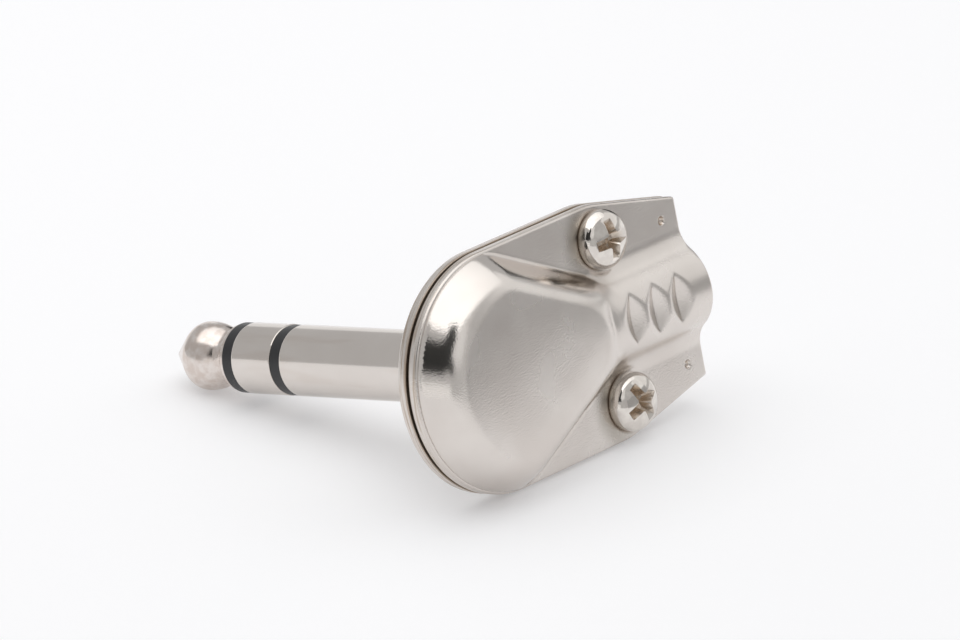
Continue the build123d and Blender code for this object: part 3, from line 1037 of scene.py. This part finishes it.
core_profile = [(0, core_top), (core_top_radius, core_top), (core_foot_radius, core_foot), (0, core_foot)]
core = plain_object("core", *turned(core_profile, steps=48))
for cutter in (cross_wing(0), cross_wing(math.pi / 2), core):
    cut = head.modifiers.new("cross recess", "BOOLEAN")
    cut.operation, cut.object, cut.solver = "DIFFERENCE", cutter, "EXACT"
    recessed = applied(head)
    bpy.data.objects.remove(cutter)
    head = bpy.data.objects.new("head", recessed)
    bpy.context.scene.collection.objects.link(head)
broken = head.modifiers.new("broken edges", "BEVEL")
broken.width, broken.segments = broken_edge, 3
broken.limit_method, broken.angle_limit = "ANGLE", sharp_angle
screw_mesh = applied(head)
print("the head has", len(screw_mesh.polygons), "faces")

# %% [markdown]
# The thread is a ridge of three points carried along a helix, and it fades out at both ends as
# a rolled thread does. A screw modifier could sweep it too, but the fade needs each turn's own
# radius. On a closed plug the screws end 0.6 mm below the collars, and no more of them shows
# at the back.

# %% The screw's thread
thread_pitch, thread_depth = 0.5, 0.16
thread_half_width = 0.2
thread_sunk = 0.02
shank_radius = 1.47
below_plate = 1.8
shank_length = flange_top + below_plate
point_length, thread_start = 0.25, 0.3
turns_of_thread = int(shank_length / thread_pitch) - 1
steps_per_turn = 32
ridge_root = shank_radius - thread_depth - thread_sunk
thread_points, thread_faces = [], []
for k in range(turns_of_thread * steps_per_turn + 1):
    bearing = 2 * math.pi * k / steps_per_turn
    fade = min(1, k / steps_per_turn, (turns_of_thread * steps_per_turn - k) / steps_per_turn)
    height = -shank_length + thread_start + thread_pitch * k / steps_per_turn
    crest = ridge_root + thread_sunk + thread_depth * fade
    ridge = ((ridge_root, -thread_half_width), (crest, 0), (ridge_root, thread_half_width))
    for radius, offset in ridge:
        thread_points.append((radius * math.cos(bearing), radius * math.sin(bearing), height + offset))
    if k:
        for a, b in ((0, 1), (1, 2), (2, 0)):
            thread_faces.append((3 * k - 3 + a, 3 * k - 3 + b, 3 * k + b, 3 * k + a))
last = len(thread_points)
thread_faces += [(2, 1, 0), (last - 3, last - 2, last - 1)]
core_radius = shank_radius - thread_depth
into_head = 0.05
shank_profile = [
    (0, into_head),
    (core_radius, into_head),
    (core_radius, point_length - shank_length),
    (core_radius - point_length, -shank_length),
    (0, -shank_length),
]
screw_form = joined(
    (np.array([v.co for v in screw_mesh.vertices]), [tuple(p.vertices) for p in screw_mesh.polygons]),
    turned(shank_profile, steps=64),
    (np.array(thread_points), thread_faces),
)
one_screw = plain_object("one_screw", *screw_form)
print("the thread has", turns_of_thread, "turns, and the screw", len(screw_form[1]), "faces")

# %% [markdown]
# The screw repeats, so Geometry Nodes sets it on two points, the screws' seats. An attribute
# on each point turns its copy to where the driver left it, so that the heads don't look
# printed. The copies are made real, because the export drops instances.

# %% Two screws by Geometry Nodes
seats = bpy.data.meshes.new("screw_seats")
seats.from_pydata([(x, y, flange_top) for x, y in screw_places], [], [])
seat_turn = seats.attributes.new("driver_turn", "FLOAT", "POINT")
seat_turn.data.foreach_set("value", [math.radians(turn) for turn in (5, 27)])
screws = bpy.data.objects.new("screws", seats)
bpy.context.scene.collection.objects.link(screws)

tree = bpy.data.node_groups.new("screws_on_seats", "GeometryNodeTree")
tree.interface.new_socket("Geometry", in_out="INPUT", socket_type="NodeSocketGeometry")
screw_input = tree.interface.new_socket("Screw", in_out="INPUT", socket_type="NodeSocketObject")
finish_input = tree.interface.new_socket("Finish", in_out="INPUT", socket_type="NodeSocketMaterial")
tree.interface.new_socket("Geometry", in_out="OUTPUT", socket_type="NodeSocketGeometry")


def tree_node(kind, settings=None, inputs=None):
    made = tree.nodes.new(kind)
    for name, value in (settings or {}).items():
        setattr(made, name, value)
    for name, value in (inputs or {}).items():
        if isinstance(value, bpy.types.NodeSocket):
            tree.links.new(value, made.inputs[name])
        else:
            made.inputs[name].default_value = value
    return made


given = tree_node("NodeGroupInput")
screw_info = tree_node("GeometryNodeObjectInfo", None, {"Object": given.outputs["Screw"]})
turn_value = tree_node("GeometryNodeInputNamedAttribute", {"data_type": "FLOAT"}, {"Name": "driver_turn"})
turn_vector = tree_node("ShaderNodeCombineXYZ", None, {"Z": turn_value.outputs["Attribute"]})
copies = {
    "Points": given.outputs["Geometry"],
    "Instance": screw_info.outputs["Geometry"],
    "Rotation": turn_vector.outputs[0],
}
placed = tree_node("GeometryNodeInstanceOnPoints", None, copies)
real = tree_node("GeometryNodeRealizeInstances", None, {"Geometry": placed.outputs["Instances"]})
coating = {"Geometry": real.outputs["Geometry"], "Material": given.outputs["Finish"]}
coated = tree_node("GeometryNodeSetMaterial", None, coating)
tree_node("NodeGroupOutput", None, {"Geometry": coated.outputs["Geometry"]})

setting = screws.modifiers.new("screws on seats", "NODES")
setting.node_group = tree
setting[screw_input.identifier] = one_screw
setting[finish_input.identifier] = screw_nickel.material
both_screws = applied(screws)
bpy.data.objects.remove(one_screw)
add_piece(
    "pan_head_screws",
    [v.co for v in both_screws.vertices],
    [tuple(p.vertices) for p in both_screws.polygons],
    screw_nickel.material,
    "screw_nickel",
    "upper_screw",
    "lower_screw",
)

# %% [markdown]
# ## The picture
#
# The camera looks at the plug from the left and from above, with a long lens. It wasn't aimed
# by eye, but worked out from the barrel's known diameter and from points along the housing and
# the finger. That fixes its direction better than its distance. Its place and its three
# directions are given in the plug's drawing.

# %% Camera
camera_data = bpy.data.cameras.new("camera")
camera_data.lens = 288.9
camera_data.sensor_width = 36
camera_data.clip_start, camera_data.clip_end = 0.01, 10
camera_place = (-450.268, 161.469, 459.546)
camera = bpy.data.objects.new("camera", camera_data)
bpy.context.scene.collection.objects.link(camera)
right = Vector((0.66929, -0.18427, 0.71979))
down = Vector((-0.29849, -0.95383, 0.03336))
ahead = Vector((0.68041, -0.23717, -0.69339))
turn = drawing_to_table.to_3x3().normalized()
camera_axes = Matrix([turn @ right, turn @ -down, turn @ -ahead]).transposed().to_4x4()
camera.matrix_world = Matrix.Translation(drawing_to_table @ Vector(camera_place)) @ camera_axes
bpy.context.scene.camera = camera
table_height = cad_box[0].z
camera_height = camera.matrix_world.translation.z - table_height
print("the camera stands", round(camera_height, 3), "m above the table")

# %% [markdown]
# The table is a wide white sheet. A plated plug shows what stands round it, so cards and
# lights are part of the look. A card could be placed by its coordinates, but the bearing and
# the rise at which the plug sees it say more about what it does. The overhead sheet glows, a
# black card gives the dome its dark patch, a dark one stands beyond the cable's end, and a grey
# one on the right makes the flat faces darker than the slopes. A small black card stands just
# before the camera, unseen by it, because the plug mirrors the camera as well.


# %% Table, cards and lights
def staged_sheet(name, corners, finish):
    mesh = bpy.data.meshes.new(name)
    mesh.from_pydata(corners, [], [tuple(range(len(corners)))])
    mesh.materials.append(finish.material)
    made = bpy.data.objects.new(name, mesh)
    bpy.context.scene.collection.objects.link(made)
    return made


def seen_at(bearing, rise, distance):
    """The point that the plug sees at a bearing and a rise in degrees, this far away."""
    bearing, rise = math.radians(bearing), math.radians(rise)
    level = (distance * math.cos(bearing), distance * math.sin(bearing))
    return Vector((*level, distance * math.tan(rise)))


def card(name, outline, distance, finish):
    """An upright card with corners given as (bearing, rise); the camera doesn't show it."""
    made = staged_sheet(name, [seen_at(*corner, distance) for corner in outline], finish)
    made.visible_camera = False
    return made


def soft_light(name, place, size, strength):
    """A rectangular light aimed at the plug; its power grows with its strength and its area."""
    data = bpy.data.lights.new(name, "AREA")
    data.shape = "RECTANGLE"
    data.size, data.size_y = size
    data.energy = strength * math.pi * size[0] * size[1]
    made = bpy.data.objects.new(name, data)
    bpy.context.scene.collection.objects.link(made)
    facing = (-place).to_track_quat("-Z", "Y").to_matrix().to_4x4()
    made.matrix_world = Matrix.Translation(place) @ facing


def glowing(name, along_x, radiances):
    """A finish that shines, from one radiance to another between two places on the X axis."""
    finish = Finish(name, Base_Color=(0, 0, 0, 1), Roughness=1.0, Emission_Strength=1.0)
    share = finish.along((1, 0, 0)).ramp(*along_x)
    finish.feed("Emission Color", finish.blend(share, *((r, r, r) for r in radiances)))
    return finish


table_white = Finish(
    "table_white",
    Base_Color=(0.72, 0.72, 0.73, 1),
    Roughness=0.7,
    Emission_Color=(1, 1, 1.01, 1),
    Emission_Strength=0.28,
)
card_black = Finish("card_black", Base_Color=(0.012, 0.013, 0.012, 1), Roughness=0.8)
card_grey = Finish("card_grey", Base_Color=(0.48, 0.48, 0.48, 1), Roughness=0.8)


def rectangle(x_range, y_range):
    """Four corners, once round."""
    (left, right_side), (near, far) = x_range, y_range
    return [(left, near), (right_side, near), (right_side, far), (left, far)]


table_reach, overhead_height = (-3, 3), 0.5
table_corners = [(x, y, table_height) for x, y in rectangle(table_reach, table_reach)]
staged_sheet("table_top", table_corners, table_white)
spiked = [
    (176, 17), (206, 17), (217, 22), (221, 30), (222, 38), (227, 46),
    (225, 58), (216, 64), (207, 56), (205, 46), (196, 43), (176, 46),
]
card("black_card", spiked, 0.3, card_black)
card("dark_card_right", rectangle((12, 36), (-2, 19)), 0.4, card_black)
card("grey_card_right", rectangle((268, 331), (-3.2, 14)), 0.15, card_grey)
card("camera_body", rectangle((217, 227), (18, 28)), 0.6, card_black)
overhead_glow = glowing("overhead_glow", (-150, 450), (1.62, 1.15))
overhead_corners = [(x, y, overhead_height) for x, y in rectangle((-0.36, 0.45), (-0.30, 0.50))]
staged_sheet("overhead", overhead_corners, overhead_glow).visible_camera = False
print("the table's top lies at", round(1000 * table_height, 2), "mm")

# %% [markdown]
# Five soft lights stand round the plug; the one behind on the right draws the line along the
# barrel. Each row gives the bearing and the rise in degrees and the distance in metres at which
# the plug sees the light, its width and height in metres, and its strength. The strengths were
# found by comparing pictures, not worked out.

# %% Soft lights and the world
lights = {
    "back_right": ((66, 6, 0.6), (0.5, 0.20), 0.38),
    "left_low": ((195, 4, 0.45), (0.4, 0.09), 0.4),
    "front_fill": ((238, 38, 0.7), (0.5, 0.5), 0.3),
    "right_fill": ((335, 30, 0.7), (0.8, 0.55), 0.38),
    "low_right": ((349, 2.2, 0.5), (0.2, 0.05), 0.33),
}
for name, (seen, size, strength) in lights.items():
    soft_light(name, seen_at(*seen), size, strength)
print("lights:", ", ".join(lights))

world = bpy.data.worlds.new("tent")
bpy.context.scene.world = world
world.use_nodes = True
background = world.node_tree.nodes["Background"]
background.inputs["Color"].default_value = (1, 1, 1, 1)
background.inputs["Strength"].default_value = 0.55
bpy.context.scene.view_settings.view_transform = "Standard"

# %% [markdown]
